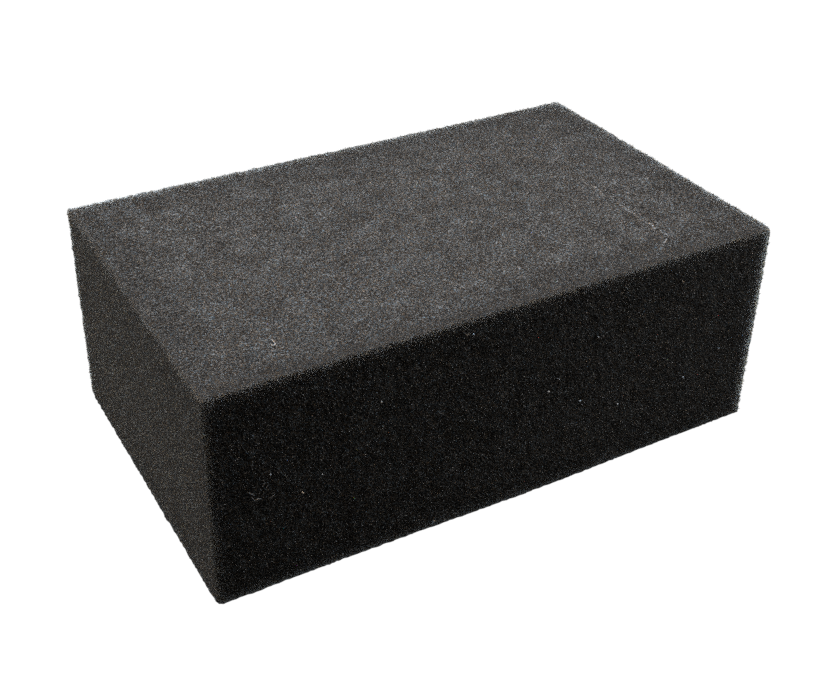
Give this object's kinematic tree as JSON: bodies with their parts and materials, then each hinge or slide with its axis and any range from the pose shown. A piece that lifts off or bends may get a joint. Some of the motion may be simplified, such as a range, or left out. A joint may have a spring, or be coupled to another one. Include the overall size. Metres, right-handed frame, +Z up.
{
  "type": "masonry sponge",
  "caption": "Rectangular block of charcoal open-cell foam with softened edges, for wiping down brickwork, render and tile joints.",
  "frame": {"origin": "middle of the base, which is the face that the block lies on", "axes": "+X along the block's length, +Y across its width away from the long front face, +Z up from the base to the top face"},
  "size_m": [0.2, 0.12, 0.075],
  "materials": {
    "foam": "matte"
  },
  "bodies": {
    "root": {"foam_block": "foam"}
  },
  "joints": []
}
